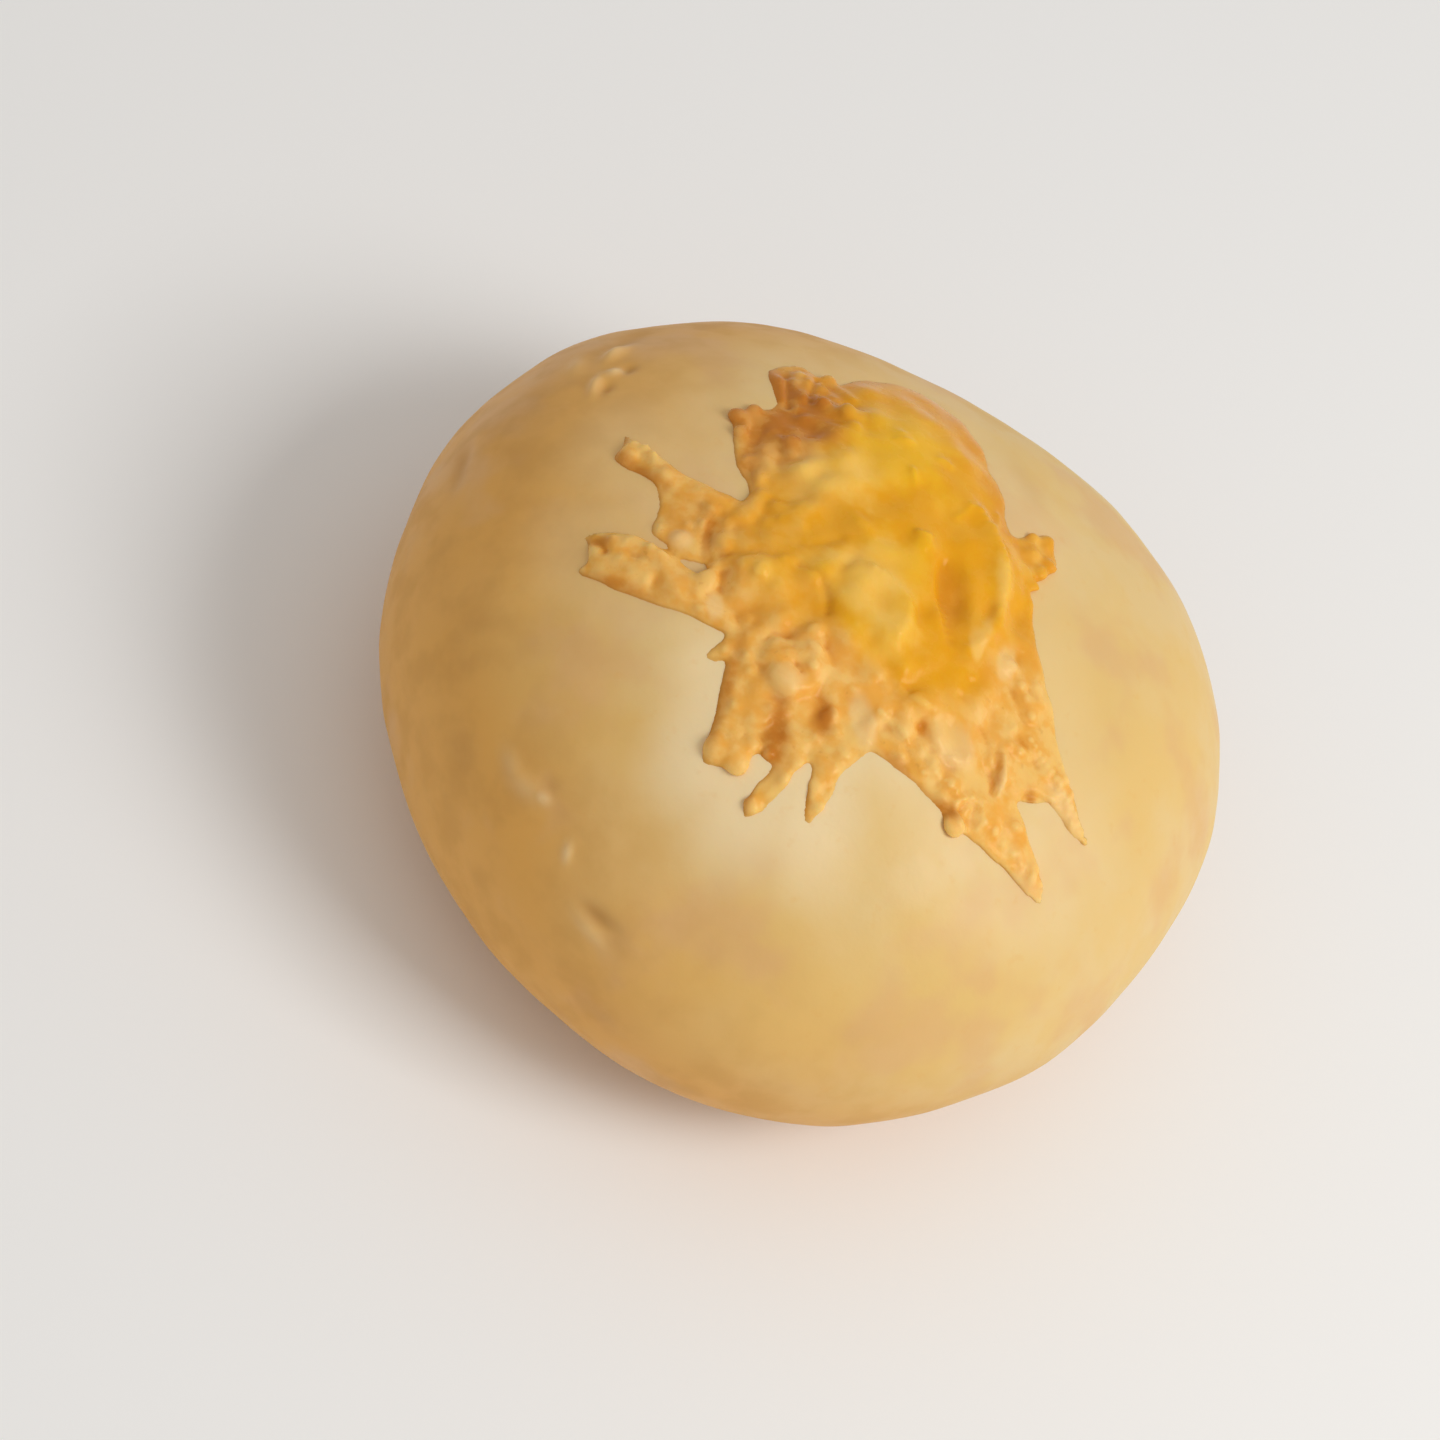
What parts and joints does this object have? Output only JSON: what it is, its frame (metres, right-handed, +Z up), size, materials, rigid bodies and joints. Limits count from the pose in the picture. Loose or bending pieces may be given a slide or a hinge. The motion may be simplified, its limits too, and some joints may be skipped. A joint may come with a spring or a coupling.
{
  "type": "cheese roll",
  "caption": "Round soft-baked bread roll with a flat base and a pool of melted grated cheese on its crown that runs out into shreds.",
  "frame": {"origin": "middle of the flat base, at the centre of the roll's box", "axes": "+Z up through the crown, +X along the roll's longest way across"},
  "size_m": [0.0958, 0.0922, 0.0529],
  "materials": {
    "baked_crust": "soft satin crust of pale gold, browner on one side and under the widest line",
    "melted_cheese": "oily melted cheese, deep yellow in the pool and tan orange where the shreds have baked"
  },
  "bodies": {
    "root": {"bread_roll": "baked_crust", "melted_cheese": "melted_cheese"}
  },
  "joints": []
}
